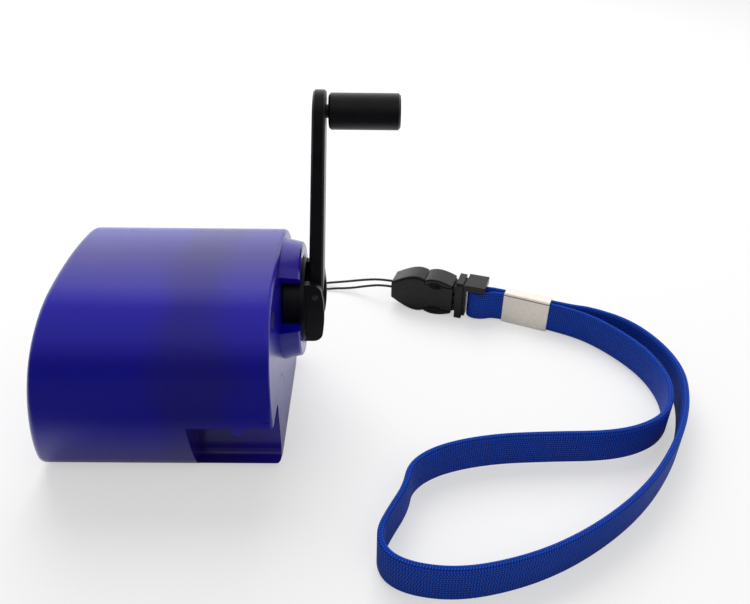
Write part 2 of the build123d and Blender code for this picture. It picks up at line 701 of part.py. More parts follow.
def crank_hub():
    """Neck, flange and the fork whose two cheeks hold the arm's hinge pin."""
    hub = tube_x(HUB_NECK_R, HUB_FROM, HUB_FLANGE_X + 0.1, *AXIS_0)
    hub += tube_x(HUB_FLANGE_R, HUB_FLANGE_X, HUB_FLOOR, *AXIS_0)
    fork = extrude(Plane.XZ.offset(-CHEEK_HALF) * cheek_profile(), 2 * CHEEK_HALF)
    fork -= block(HUB_FLOOR, CHEEK_REACH + 5, -SLOT_HALF, SLOT_HALF, -20, 20)
    hub += Pos(0, *AXIS_0) * fork
    pin = Pos(PIN_X, CRANK_Y, CRANK_Z + PIN_OFFSET) * Rot(90, 0, 0) * Cylinder(PIN_R, 40)
    hub -= pin
    hub -= tube_x(SHAFT_R, HUB_FROM - 1, SHAFT_FRONT, *AXIS_0)
    hub -= tube_x(SCREW_R + SCREW_GAP, HUB_FROM, HUB_FLOOR + 5, *AXIS_0)
    return hub - tube_x(FRAME_HEAD_R + SCREW_GAP, SHAFT_FRONT + 0.1, HUB_FLOOR + 5, *AXIS_0)


def hub_screw():
    """Screw that holds the hub on its shaft, sunk below the fork's floor."""
    head = tube_x(FRAME_HEAD_R, SHAFT_FRONT + 0.1, HUB_FLOOR - 0.05, *AXIS_0)
    return head + tube_x(SCREW_R, SHAFT_FRONT - 5.5, SHAFT_FRONT + 0.2, *AXIS_0)


def hinge_pin():
    length = 2 * CHEEK_HALF - 0.1
    return Pos(PIN_X, CRANK_Y, CRANK_Z + PIN_OFFSET) * Rot(90, 0, 0) * Cylinder(PIN_R, length)


def arm_side():
    """Side view of the arm in X and Z from its hinge pin: slanted and tapered."""
    root, tip = ARM_ROOT_THICKNESS / 2, ARM_TIP_THICKNESS / 2
    end = ARM_REACH + ARM_WIDTH / 2
    at_tip = PIN_X + ARM_OFFSET
    edges = [
        Line((PIN_X + root, 0), (at_tip + tip, end)),
        Line((at_tip + tip, end), (at_tip - tip, end)),
        Line((at_tip - tip, end), (PIN_X - root, 0)),
        ThreePointArc((PIN_X - root, 0), (PIN_X, -root), (PIN_X + root, 0)),
    ]
    return make_face(Wire(edges))


def crank_arm():
    """Flat bar with a round end, on its hinge at the root."""
    side = extrude(Plane.XZ.offset(-ARM_WIDTH / 2) * arm_side(), ARM_WIDTH)
    length = ARM_REACH + ARM_ROOT_THICKNESS
    front = Pos(0, (ARM_REACH - ARM_ROOT_THICKNESS) / 2) * Rectangle(ARM_WIDTH, length)
    front += Pos(0, ARM_REACH) * Circle(ARM_WIDTH / 2)
    arm = side & along_x(front, PIN_X - 10, PIN_X + 10)
    arm = chamfer(arm.edges().filter_by(GeomType.LINE).filter_by(
        lambda e: e.length > ARM_REACH * 0.9), 0.45)
    arm -= Rot(90, 0, 0) * Pos(PIN_X, 0, 0) * Cylinder(PIN_R + RUNNING_GAP, 40)
    arm = Pos(0, CRANK_Y, CRANK_Z + PIN_OFFSET) * arm
    return arm - tube_x(GRIP_PIN_R, PIN_X - 10, PIN_X + 10, *GRIP_AXIS)


GRIP_AXIS = (CRANK_Y, CRANK_Z + PIN_OFFSET + ARM_REACH)
GRIP_FROM = PIN_X + ARM_OFFSET + ARM_TIP_THICKNESS / 2 + GRIP_GAP + 0.1
GRIP_TO = GRIP_FROM + GRIP_LENGTH


def handle_pin():
    """Shouldered pin riveted in the arm, with a head inside the grip's end."""
    x0 = PIN_X + ARM_OFFSET - ARM_TIP_THICKNESS / 2
    pin = tube_x(GRIP_PIN_R, x0, GRIP_TO - 1.0, *GRIP_AXIS)
    return pin + tube_x(GRIP_PIN_HEAD_R, GRIP_TO - 1.0 - GRIP_PIN_HEAD, GRIP_TO - 1.0, *GRIP_AXIS)


def handle_grip():
    """Grip that turns on its pin, counterbored at the end for the pin's head."""
    grip = tube_x(GRIP_R, GRIP_FROM, GRIP_TO, *GRIP_AXIS)
    ends = [e for e in grip.edges().filter_by(GeomType.CIRCLE)]
    grip = chamfer(ends, GRIP_CHAMFER)
    grip -= tube_x(GRIP_PIN_R + RUNNING_GAP, GRIP_FROM - 1, GRIP_TO + 1, *GRIP_AXIS)
    seat = GRIP_TO - 1.0 - GRIP_PIN_HEAD - 0.1
    return grip - tube_x(GRIP_PIN_HEAD_R + RUNNING_GAP, seat, GRIP_TO + 1, *GRIP_AXIS)


# --- Buckle ---------------------------------------------------------------------------------
BUCKLE_PLACE = Pos(BUCKLE_X, BUCKLE_Y, BUCKLE_HEIGHT / 2) * Rot(0, 0, BUCKLE_TURN)
CAVITY_FROM = 3.2
MOUTH = BUCKLE_LENGTH
PAD_FROM = 11.0


def socket_outline():
    """Broad face of the socket in its own X and Z: tapered nose, waist and lower pad seats."""
    h, nose = BUCKLE_HEIGHT / 2, BUCKLE_NOSE / 2
    upper = [(0.0, nose), (3.8, h - 1.4), (8.2, h - 0.1), (PAD_FROM, h - 0.7)]
    seat = [(PAD_FROM, h - PAD_RISE), (MOUTH, h - PAD_RISE - 0.2)]
    edges = []
    for side in (1, -1):
        edges.append(Spline(*[(x, side * z) for x, z in upper]))
        run = [upper[-1]] + seat
        edges += [Line((a[0], side * a[1]), (b[0], side * b[1])) for a, b in zip(run, run[1:])]
    edges.append(Line(seat[-1], (MOUTH, -seat[-1][1])))
    edges.append(Line((0.0, -nose), (0.0, nose)))
    return make_face(Wire(edges))


def thumb_scoops():
    """Shallow oval dimples on both broad faces, where thumb and finger press the pads."""
    scoop = scale(Sphere(1.0), by=(SCOOP_LENGTH / 2, SCOOP_DEPTH, SCOOP_TALL / 2))
    half, z = BUCKLE_THICKNESS / 2, BUCKLE_HEIGHT / 2 - PAD_RISE
    return [Pos(SCOOP_AT, side * half, up * z) * scoop for side in (1, -1) for up in (1, -1)]


def buckle_socket():
    """Female half: a hollow body, open at the sides where the clip's two pads sit."""
    half = BUCKLE_THICKNESS / 2
    body = extrude(Plane.XZ.offset(-half) * socket_outline(), BUCKLE_THICKNESS)
    nose = [e for e in body.edges() if abs(abs(e.center().Y) - half) < 0.01
            and e.bounding_box().max.X < PAD_FROM + 0.1 and e.bounding_box().size.X > 5]
    body = fillet(nose, BUCKLE_EDGE)
    inner = half - BUCKLE_WALL
    tall = BUCKLE_HEIGHT / 2 - 1.7
    body -= block(CAVITY_FROM, PAD_FROM + 1, -inner, inner, -tall, tall)
    body -= block(PAD_FROM, MOUTH + 1, -inner, inner, -20, 20)
    for scoop in thumb_scoops():
        body -= scoop
    for z in (STRING_SPREAD, -STRING_SPREAD):
        body -= Pos(0, 0, z) * Rot(0, 90, 0) * Cylinder(STRING_R, 2 * CAVITY_FROM)
    return BUCKLE_PLACE * body


def clip_prong(side):
    """Springy prong that reaches into the socket, with its leg in one piece."""
    inner = BUCKLE_THICKNESS / 2 - BUCKLE_WALL - CLIP_GAP
    h = BUCKLE_HEIGHT / 2
    leg = [(CAVITY_FROM + 1.6, h - 3.2), (PAD_FROM, h - 2.1), (PAD_FROM + CLIP_GAP, h - 1.6),
           (MOUTH - 0.3, h - 1.6), (FLANGE_FROM, h - 2.4),
           (FLANGE_FROM, h - 4.4), (PAD_FROM + 1, h - 4.2), (CAVITY_FROM + 1.6, h - 4.6)]
    pts = [(x, side * z) for x, z in leg]
    face = make_face(Wire([Line(a, b) for a, b in zip(pts, pts[1:] + pts[:1])]))
    return extrude(Plane.XZ.offset(-inner) * face, 2 * inner) + clip_pad(side)


def clip_pad(side):
    """Bulged thumb pad on a prong, as thick as the socket and seated on its lowered edge."""
    h, half = BUCKLE_HEIGHT / 2, BUCKLE_THICKNESS / 2
    top = [(PAD_FROM + CLIP_GAP, h - 0.8), (PAD_CREST, h - 0.05), (PAD_FALL, h - 0.3), (MOUTH - 0.2, h - 1.4)]
    low = h - PAD_RISE + CLIP_GAP
    crest = Spline(*[(x, side * z) for x, z in top])
    turns = [top[-1], (top[-1][0], low), (top[0][0], low), top[0]]
    sides = [Line((a[0], side * a[1]), (b[0], side * b[1])) for a, b in zip(turns, turns[1:])]
    pad = extrude(Plane.XZ.offset(-half) * make_face(Wire([crest] + sides)), 2 * half)
    long_edges = [e for e in pad.edges() if abs(abs(e.center().Y) - half) < 0.01
                  and side * e.center().Z > h - 1.2 and e.bounding_box().size.X > 5]
    return fillet(long_edges, BUCKLE_EDGE / 2)


def buckle_clip():
    """Male half: two prongs, a guide tongue, a flange and the bar for the strap."""
    half, h = BUCKLE_THICKNESS / 2, BUCKLE_HEIGHT / 2
    inner = half - BUCKLE_WALL - CLIP_GAP
    body = clip_prong(1) + clip_prong(-1)
    for scoop in thumb_scoops():
        body -= scoop
    body += block(CAVITY_FROM + 5, FLANGE_FROM + 0.5, -inner, inner, -0.8, 0.8)
    body += block(MOUTH + 0.5, FLANGE_FROM + 0.3, -inner, inner, -h + 2, h - 2)
    flange = block(FLANGE_FROM, FLANGE_TO, -half, half, -h, h)
    body += fillet(flange.edges().filter_by(Axis.X), BUCKLE_EDGE)
    body += block(FLANGE_TO - 0.2, FLANGE_TO + ARM_NOTCH + 0.2, -half + 1, half - 1, -h + 1, h - 1)
    body += block(FLANGE_TO + ARM_NOTCH, ARM_END, -half, half, h - CLIP_ARM_HEIGHT, h)
    bar = Pos(BAR_AT, 0, 0) * Cylinder(BAR_R, BUCKLE_HEIGHT - 0.6)
    return BUCKLE_PLACE * (body + bar)


# --- String ---------------------------------------------------------------------------------
def string_end(along, side):
    """Point on one of the two string holes of the socket's nose, so far along the buckle."""
    turn = math.radians(BUCKLE_TURN)
    height = BUCKLE_HEIGHT / 2 + side * STRING_SPREAD
    return (BUCKLE_X + along * math.cos(turn), BUCKLE_Y + along * math.sin(turn), height)


STRING_ROUTE = [
    string_end(STRING_GRIP, 1),
    string_end(-4.2, 1),
    (50.0, 59.6, 5.4),
    (43.6, 63.2, 2.4),
    (36.0, 65.0, 0.6),
    (27.5, 63.0, 0.5),
    (21.4, 56.6, 1.6),
    (17.0, 47.6, 4.8),
    (15.5, 39.0, 12.0),
    (15.1, 34.8, 17.4),
    (15.0, 30.1, 16.8),
    (15.0, 30.1, 11.2),
    (15.2, 34.6, 10.3),
    (16.0, 39.6, 6.8),
    (18.8, 47.6, 2.2),
    (24.0, 55.0, 0.5),
    (31.0, 60.0, 0.5),
    (38.5, 61.4, 0.6),
    (45.4, 60.0, 1.7),
    (51.0, 58.0, 3.9),
    string_end(-4.0, -1),
    string_end(STRING_GRIP, -1),
]


def corner_radii(route):
    """Largest arc that each corner's two runs allow."""
    radii = []
    for a, b, c in zip(route, route[1:], route[2:]):
        one, two = Vector(*b) - Vector(*a), Vector(*c) - Vector(*b)
        half_turn = math.radians(one.get_angle(two)) / 2
        radii.append(0.45 * min(one.length, two.length) / math.tan(half_turn))
    return radii


def cord_path(name, route):
    radii = corner_radii(route)
    print(name, "arc radii", [round(r, 1) for r in radii])
    return FilletPolyline(*[Vector(*p) for p in route], radius=radii)


def string_loop():
    """One thin cord: from the socket's nose, through the lanyard eye and back."""
    path = cord_path("string_loop", STRING_ROUTE)
    start = Plane(origin=path @ 0, z_dir=path % 0)
    tube = sweep(start * Circle(STRING_R), path=path)
    print("string_loop volume over section times length",
          round(tube.volume / (math.pi * STRING_R**2 * path.length), 4))
    return tube


# --- Strap ----------------------------------------------------------------------------------
LAYER_OFFSET = (STRAP_THICKNESS + LAYER_GAP) / 2
WRAP = BAR_R + BAR_SLACK + STRAP_THICKNESS / 2


def crimp_point(along, across):
    """Point on the table, so far along the crimp and so far to its far side."""
    turn = math.radians(CRIMP_TURN)
    return (CRIMP_X + along * math.cos(turn) - across * math.sin(turn),
            CRIMP_Y + along * math.sin(turn) + across * math.cos(turn))


def bar_point(along, across):
    """The same about the buckle's bar."""
    turn = math.radians(BUCKLE_TURN)
    return (BUCKLE_X + (BAR_AT + along) * math.cos(turn) - across * math.sin(turn),
            BUCKLE_Y + (BAR_AT + along) * math.sin(turn) + across * math.cos(turn))


STRAP_ROUTE = [
    crimp_point(CRIMP_LENGTH / 2 - 0.2, LAYER_OFFSET),
    crimp_point(-2.6, LAYER_OFFSET),
    bar_point(2.4, WRAP),
    bar_point(-WRAP, WRAP),
    bar_point(-WRAP, -WRAP),
    bar_point(2.4, -WRAP),
    crimp_point(-2.6, -LAYER_OFFSET),
    crimp_point(CRIMP_LENGTH + 5.5, -LAYER_OFFSET),
    (121.7, 29.9),
    (129.4, 19.4),
    (133.3, 9.3),
    (133.6, -2.0),
    (129.2, -11.8),
    (121.8, -17.2),
    (112.0, -20.0),
    (97.2, -20.4),
    (82.0, -21.4),
    (69.0, -25.0),
    (61.8, -30.6),
    (60.4, -37.6),
    (56.7, -44.4),
    (54.2, -50.0),
    (55.2, -55.4),
    (60.6, -58.8),
    (70.6, -60.0),
    (82.3, -57.6),
    (93.4, -53.2),
    (104.7, -46.3),
    (115.1, -37.8),
    (123.8, -27.9),
    (131.1, -17.0),
    (136.2, -5.9),
    (139.0, 5.6),
    (137.2, 17.8),
    (131.2, 29.2),
    (121.2, 35.8),
    crimp_point(CRIMP_LENGTH + 5.5, LAYER_OFFSET),
    crimp_point(CRIMP_LENGTH / 2 + 0.2, LAYER_OFFSET),
]


def wrist_strap():
    """One flat band on edge: round the buckle's bar, through the crimp and round the wrist."""
    path = cord_path("wrist_strap", [(x, y, 0.0) for x, y in STRAP_ROUTE])
    start = Plane(origin=path @ 0, z_dir=path % 0, x_dir=(0, 0, 1))
    profile = start * Pos(STRAP_WIDTH / 2, 0) * Rectangle(STRAP_WIDTH, STRAP_THICKNESS)
    band = sweep(profile, path=path)
    print("wrist_strap volume over section times length",
          round(band.volume / (STRAP_WIDTH * STRAP_THICKNESS * path.length), 4))
    return band


def strap_crimp():
    """Bent metal sleeve pressed flat over the two layers of the strap."""
    across = 2 * LAYER_OFFSET + STRAP_THICKNESS + 2 * CRIMP_SKIN
    tall = STRAP_WIDTH + 2 * CRIMP_SKIN
    sleeve = Pos(CRIMP_LENGTH / 2, 0, tall / 2) * Box(CRIMP_LENGTH, across, tall)
    long_edges = sleeve.edges().filter_by(Axis.X)
    sleeve = fillet(long_edges, CRIMP_ROUND)
    slot = Pos(CRIMP_LENGTH / 2, 0, tall / 2) * Box(
        CRIMP_LENGTH + 2, across - 2 * CRIMP_SKIN, STRAP_WIDTH)
    return Pos(CRIMP_X, CRIMP_Y, 0) * Rot(0, 0, CRIMP_TURN) * (sleeve - slot)


def main():
    os.makedirs("parts", exist_ok=True)
    nodes = {
        "main_case": case_body(),
        "front_cover": front_cover(),
        "case_screws": screws(CASE_POSTS, FRONT - HEAD_HEIGHT, CASE_SCREW_LENGTH, FRAME_HEAD_R),
        "front_plate": front_plate(),
        "rear_plate": rear_plate(),
        "frame_spacers": frame_spacers(),
        "frame_screws": screws(FRAME_POSTS, FRONT_PLATE[1], FRONT_PLATE[1] - FRAME_SCREW_END,
                               FRAME_HEAD_R),
        "crank_bush": crank_bush(),
        "crank_shaft": crank_shaft(),
        "drive_gear": drive_gear(),
        "axle_1": axle(AXIS_1),
        "compound_gear_1": compound_gear(GEAR_1_TEETH, STAGE_2_ANGLE, LAYER_B, STAGE_1_ANGLE,
                                         LAYER_A, AXIS_1),
        "axle_2": axle(AXIS_2),
        "compound_gear_2": compound_gear(GEAR_2_TEETH, STAGE_3_ANGLE, LAYER_C, STAGE_2_ANGLE,
                                         LAYER_B, AXIS_2),
        "generator_housing": generator_housing(),
        "generator_cap": generator_cap(),
        "stator": stator(),
        "rotor_shaft": rotor_shaft(),
        "rotor_magnet": rotor_magnet(),
        "rotor_pinion": rotor_pinion(),
        "circuit_board": circuit_board(),
        "usb_shell": usb_shell(),
        "usb_tongue": usb_tongue(),
        "usb_contacts": usb_contacts(),
        "capacitor": capacitor(),
        "indicator_light": indicator_light(),
        "crank_hub": crank_hub(),
        "hub_screw": hub_screw(),
        "hinge_pin": hinge_pin(),
        "crank_arm": crank_arm(),
        "handle_pin": handle_pin(),
        "handle_grip": handle_grip(),
        "buckle_socket": buckle_socket(),
        "buckle_clip": buckle_clip(),
        "strap_crimp": strap_crimp(),
        "wrist_strap": Pos(0, 0, CRIMP_SKIN) * wrist_strap(),
        "string_loop": string_loop(),
    }
    for name, solid in nodes.items():
        export_step(solid, f"parts/{name}.step")


main()
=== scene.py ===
import bpy
import bmesh
import math
from mathutils import Matrix, Vector


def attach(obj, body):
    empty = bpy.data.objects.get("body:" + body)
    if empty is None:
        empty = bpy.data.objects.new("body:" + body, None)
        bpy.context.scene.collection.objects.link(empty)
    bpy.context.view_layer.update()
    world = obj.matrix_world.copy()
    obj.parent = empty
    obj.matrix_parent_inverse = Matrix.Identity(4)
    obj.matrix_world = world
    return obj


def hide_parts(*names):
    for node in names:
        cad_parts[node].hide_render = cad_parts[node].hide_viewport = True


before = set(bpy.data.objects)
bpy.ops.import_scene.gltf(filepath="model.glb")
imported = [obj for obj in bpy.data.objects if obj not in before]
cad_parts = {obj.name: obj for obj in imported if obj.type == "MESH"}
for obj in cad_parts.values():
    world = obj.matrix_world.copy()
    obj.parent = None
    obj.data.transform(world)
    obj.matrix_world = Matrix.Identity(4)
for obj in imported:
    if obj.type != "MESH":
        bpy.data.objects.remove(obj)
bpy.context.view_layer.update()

# --- Case shell ---------------------------------------------------------------------------
# The case is injection moulded in a deep blue, slightly see-through ABS. The long shell is
# one moulding with the handle pocket in its near lower edge, and its walls are 2.2 mm thick.
bpy.ops.object.select_all(action="DESELECT")


def new_material(name):
    """An empty material with its shader and output, ready for nodes."""
    material = bpy.data.materials.new(name)
    material.use_nodes = True
    tree = material.node_tree
    shader = tree.nodes["Principled BSDF"]
    return material, tree, shader


def dress(node, material):
    """Gives every slot of a carried-over piece the material."""
    piece = bpy.data.objects[node]
    for slot in piece.material_slots:
        slot.material = material
    if not piece.material_slots:
        piece.data.materials.append(material)


def object_pattern(tree, kind, scale, detail=4.0):
    """A noise or Voronoi pattern on the piece's own metres."""
    place = tree.nodes.new("ShaderNodeTexCoord")
    pattern = tree.nodes.new(kind)
    pattern.inputs["Scale"].default_value = scale
    if "Detail" in pattern.inputs:
        pattern.inputs["Detail"].default_value = detail
    tree.links.new(place.outputs["Object"], pattern.inputs["Vector"])
    return pattern


def spread(tree, source, low, high):
    """Maps a pattern's 0 to 1 onto a range of values."""
    span = tree.nodes.new("ShaderNodeMapRange")
    span.inputs["To Min"].default_value = low
    span.inputs["To Max"].default_value = high
    tree.links.new(source, span.inputs["Value"])
    return span.outputs["Result"]


def calc(tree, kind, a, b=None):
    """One sum on a pattern's values."""
    node = tree.nodes.new("ShaderNodeMath")
    node.operation = kind
    for socket, value in zip(node.inputs, (a, b)):
        if value is None:
            continue
        if isinstance(value, (int, float)):
            socket.default_value = value
        else:
            tree.links.new(value, socket)
    return node.outputs["Value"]


def step_up(tree, value, start, end):
    """A soft step from 0 to 1 between two values."""
    ease = tree.nodes.new("ShaderNodeMapRange")
    ease.interpolation_type = "SMOOTHSTEP"
    ease.inputs["From Min"].default_value = start
    ease.inputs["From Max"].default_value = end
    tree.links.new(value, ease.inputs["Value"])
    return ease.outputs["Result"]


def shades(tree, source, stops):
    """A colour ramp with its stops at the given places."""
    ramp = tree.nodes.new("ShaderNodeValToRGB")
    ramp.color_ramp.interpolation = "EASE"
    marks = ramp.color_ramp.elements
    while len(marks) < len(stops):
        marks.new(0.5)
    for mark, (place, colour) in zip(marks, stops):
        mark.position = place
        mark.color = (*colour, 1)
    tree.links.new(source, ramp.inputs["Fac"])
    return ramp.outputs["Color"]


def blue_shell(name):
    """Deep blue plastic with painted light and shade: painted shading by the angle about the
    widest line, a painted grey shade before the gears and a painted blue glow at the rear end,
    where light passes the wall.
    """
    material, tree, shader = new_material(name)
    place = tree.nodes.new("ShaderNodeTexCoord")
    split = tree.nodes.new("ShaderNodeSeparateXYZ")
    tree.links.new(place.outputs["Object"], split.inputs["Vector"])
    # Painted shading: the colour is painted lighter and darker by the angle about the case's
    # widest line, from the base to the crest, for the light and shade that fall on the shell.
    widest_line = 0.025
    lowest_turn, whole_turn = 0.7, 2.3
    rise = calc(tree, "SUBTRACT", split.outputs["Z"], widest_line)
    turn = calc(tree, "ARCTAN2", rise, calc(tree, "ABSOLUTE", split.outputs["Y"]))
    painted_shade_place = calc(tree, "DIVIDE", calc(tree, "ADD", turn, lowest_turn), whole_turn)
    # Painted light and shade: a dark band about the widest line, bluer above it and paler lilac
    # towards the crest.
    body = shades(tree, painted_shade_place, [
        (0.03, (0.012, 0.004, 0.19)), (0.19, (0.004, 0.001, 0.25)), (0.28, (0.001, 0.0, 0.23)),
        (0.46, (0.001, 0.0, 0.25)), (0.56, (0.005, 0.001, 0.34)), (0.68, (0.008, 0.002, 0.33)),
        (0.82, (0.014, 0.005, 0.26)), (0.98, (0.022, 0.009, 0.22))])
    # The flat ends lie across that line, so they take one even colour without the painted
    # shading.
    even_radius, shaded_radius = 0.014, 0.023
    width = split.outputs["Y"]
    radius = calc(tree, "SQRT", calc(tree, "ADD", calc(tree, "MULTIPLY", width, width),
                                     calc(tree, "MULTIPLY", rise, rise)))
    skin = tree.nodes.new("ShaderNodeMix")
    skin.data_type = "RGBA"
    tree.links.new(step_up(tree, radius, even_radius, shaded_radius), skin.inputs["Factor"])
    skin.inputs["A"].default_value = (0.003, 0.001, 0.27, 1)
    tree.links.new(body, skin.inputs["B"])
    # Painted shade: a greyer zone whose edges drift is painted where the gears stand behind the
    # wall, for the gears showing through.
    zone_start, zone_full, zone_fading, zone_end = 0.002, 0.011, 0.0165, 0.0245
    edge_drift, gear_shade_strength = 0.022, 0.36
    cloud = object_pattern(tree, "ShaderNodeTexNoise", 48.0, 3.0)
    drift = calc(tree, "MULTIPLY", calc(tree, "SUBTRACT", cloud.outputs["Fac"], 0.5), edge_drift)
    along = calc(tree, "ADD", split.outputs["X"], drift)
    gears = calc(tree, "MULTIPLY", step_up(tree, along, zone_start, zone_full),
                 calc(tree, "SUBTRACT", 1.0, step_up(tree, along, zone_fading, zone_end)))
    painted_gear_shade = tree.nodes.new("ShaderNodeMix")
    painted_gear_shade.data_type = "RGBA"
    tree.links.new(calc(tree, "MULTIPLY", gears, gear_shade_strength), painted_gear_shade.inputs["Factor"])
    tree.links.new(skin.outputs["Result"], painted_gear_shade.inputs["A"])
    painted_gear_shade.inputs["B"].default_value = (0.013, 0.008, 0.05, 1)
    # Painted light: the rear end, with nothing behind the wall, is painted a little bluer for
    # the light that passes through it.
    glow_start, glow_full = -0.024, -0.030
    ends = tree.nodes.new("ShaderNodeMix")
    ends.data_type = "RGBA"
    ends.blend_type = "ADD"
    # Painted glow: this adds blue towards the rear end.
    tree.links.new(step_up(tree, along, glow_start, glow_full), ends.inputs["Factor"])
    tree.links.new(painted_gear_shade.outputs["Result"], ends.inputs["A"])
    ends.inputs["B"].default_value = (0.0, 0.0, 0.07, 1)
    tree.links.new(ends.outputs["Result"], shader.inputs["Base Color"])
    haze = object_pattern(tree, "ShaderNodeTexNoise", 500.0, 3.0)
    tree.links.new(spread(tree, haze.outputs["Fac"], 0.2, 0.27), shader.inputs["Roughness"])
    shader.inputs["IOR"].default_value = 1.5
    return material


dress("main_case", blue_shell("case_blue"))

# --- Front cover --------------------------------------------------------------------------
# The end cover is a second moulding in the same blue, held by three screws. It carries the
# raised collar about the crank, whose near side is cut away.
dress("front_cover", blue_shell("cover_blue"))

# --- Screws, shafts and other steel ---------------------------------------------------------
# Turned and headed steel, zinc plated, with faint turning marks. The two pins of the crank are
# blackened, and the case's screws are painted a dark blue, a painted shade of their holes and a
# painted reflection of the blue case about them.


def tinted(tree, shader, source, dark, light):
    """Varies the base colour between two near shades."""
    ramp = tree.nodes.new("ShaderNodeValToRGB")
    ramp.color_ramp.elements[0].position = 0.3
    ramp.color_ramp.elements[0].color = (*dark, 1)
    ramp.color_ramp.elements[1].position = 0.7
    ramp.color_ramp.elements[1].color = (*light, 1)
    tree.links.new(source, ramp.inputs["Fac"])
    tree.links.new(ramp.outputs["Color"], shader.inputs["Base Color"])


plated_steel, tree, shader = new_material("plated_steel")
marks = object_pattern(tree, "ShaderNodeTexNoise", 1500.0, 2.0)
tinted(tree, shader, marks.outputs["Fac"], (0.46, 0.46, 0.48), (0.6, 0.6, 0.62))
tree.links.new(spread(tree, marks.outputs["Fac"], 0.22, 0.4), shader.inputs["Roughness"])
shader.inputs["Metallic"].default_value = 1.0
for node in ("frame_screws", "crank_shaft", "axle_1", "axle_2", "rotor_shaft",
             "hub_screw", "usb_shell"):
    dress(node, plated_steel)
black_oxide, tree, shader = new_material("black_oxide")
marks = object_pattern(tree, "ShaderNodeTexNoise", 1500.0, 2.0)
tinted(tree, shader, marks.outputs["Fac"], (0.012, 0.012, 0.014), (0.03, 0.03, 0.034))
tree.links.new(spread(tree, marks.outputs["Fac"], 0.3, 0.45), shader.inputs["Roughness"])
for node in ("hinge_pin", "handle_pin"):
    dress(node, black_oxide)
# Painted shade and reflection: the screws are coloured dark blue for their shaded holes and the
# blue case about them.
screw_painted_shade, tree, shader = new_material("screw_painted_shade")
marks = object_pattern(tree, "ShaderNodeTexNoise", 1500.0, 2.0)
tinted(tree, shader, marks.outputs["Fac"], (0.03, 0.025, 0.12), (0.05, 0.045, 0.18))
shader.inputs["Roughness"].default_value = 0.35
shader.inputs["Metallic"].default_value = 0.6
dress("case_screws", screw_painted_shade)

# --- Gear frame ---------------------------------------------------------------------------
# Two moulded plates and their spacers, in dark grey glass-filled nylon, carry the axles.
frame_nylon, tree, shader = new_material("frame_nylon")
fibre = object_pattern(tree, "ShaderNodeTexNoise", 700.0, 5.0)
tinted(tree, shader, fibre.outputs["Fac"], (0.10, 0.10, 0.13), (0.15, 0.15, 0.18))
tree.links.new(spread(tree, fibre.outputs["Fac"], 0.5, 0.65), shader.inputs["Roughness"])
for node in ("front_plate", "rear_plate", "frame_spacers"):
    dress(node, frame_nylon)

# --- Gears --------------------------------------------------------------------------------
# Moulded white acetal: the wheel on the crank shaft and two wheels with their pinions. The
# tongue of the USB socket is moulded in the same white.
white_acetal, tree, shader = new_material("white_acetal")
flow = object_pattern(tree, "ShaderNodeTexNoise", 260.0, 3.0)
tinted(tree, shader, flow.outputs["Fac"], (0.72, 0.71, 0.66), (0.8, 0.79, 0.75))
tree.links.new(spread(tree, flow.outputs["Fac"], 0.35, 0.48), shader.inputs["Roughness"])
for node in ("drive_gear", "compound_gear_1", "compound_gear_2", "usb_tongue"):
    dress(node, white_acetal)

# --- Bush, rotor pinion and contacts ----------------------------------------------------------
# Turned brass, a little dulled: the crank's bearing, the rotor's pinion and the four contacts
# of the socket.
turned_brass, tree, shader = new_material("turned_brass")
marks = object_pattern(tree, "ShaderNodeTexNoise", 1200.0, 2.0)
tinted(tree, shader, marks.outputs["Fac"], (0.60, 0.44, 0.18), (0.72, 0.56, 0.26))
tree.links.new(spread(tree, marks.outputs["Fac"], 0.25, 0.42), shader.inputs["Roughness"])
shader.inputs["Metallic"].default_value = 1.0
for node in ("crank_bush", "rotor_pinion", "usb_contacts"):
    dress(node, turned_brass)

# --- Generator ----------------------------------------------------------------------------
# A drawn steel can holds the wound stator. Its cap is black nylon and its rotor a magnet, and
# the capacitor has a can of the same steel.
can_steel, tree, shader = new_material("can_steel")
draw = object_pattern(tree, "ShaderNodeTexNoise", 800.0, 3.0)
tinted(tree, shader, draw.outputs["Fac"], (0.40, 0.40, 0.42), (0.52, 0.52, 0.55))
tree.links.new(spread(tree, draw.outputs["Fac"], 0.3, 0.45), shader.inputs["Roughness"])
shader.inputs["Metallic"].default_value = 1.0
for node in ("generator_housing", "capacitor"):
    dress(node, can_steel)

magnet_grey, tree, shader = new_material("magnet_grey")
grain = object_pattern(tree, "ShaderNodeTexNoise", 1800.0, 4.0)
tinted(tree, shader, grain.outputs["Fac"], (0.05, 0.05, 0.055), (0.09, 0.09, 0.1))
tree.links.new(spread(tree, grain.outputs["Fac"], 0.5, 0.7), shader.inputs["Roughness"])
for node in ("generator_cap", "rotor_magnet"):
    dress(node, magnet_grey)

copper_wire, tree, shader = new_material("copper_wire")
turns = object_pattern(tree, "ShaderNodeTexWave", 900.0, 0.0)
tinted(tree, shader, turns.outputs["Fac"], (0.30, 0.11, 0.04), (0.56, 0.26, 0.12))
shader.inputs["Roughness"].default_value = 0.35
shader.inputs["Metallic"].default_value = 0.8
dress("stator", copper_wire)

# --- Circuit board and lamp -------------------------------------------------------------------
# A green glass-fibre board stands behind the rear wall. It carries the socket, the capacitor
# and a small red lamp.
board_green, tree, shader = new_material("board_green")
weave = object_pattern(tree, "ShaderNodeTexNoise", 1400.0, 2.0)
tinted(tree, shader, weave.outputs["Fac"], (0.02, 0.14, 0.06), (0.03, 0.2, 0.09))
shader.inputs["Roughness"].default_value = 0.4
dress("circuit_board", board_green)

lamp_red, tree, shader = new_material("lamp_red")
swirl = object_pattern(tree, "ShaderNodeTexNoise", 500.0, 2.0)
tinted(tree, shader, swirl.outputs["Fac"], (0.6, 0.05, 0.04), (0.75, 0.1, 0.08))
shader.inputs["Roughness"].default_value = 0.15
shader.inputs["Transmission Weight"].default_value = 0.5
dress("indicator_light", lamp_red)

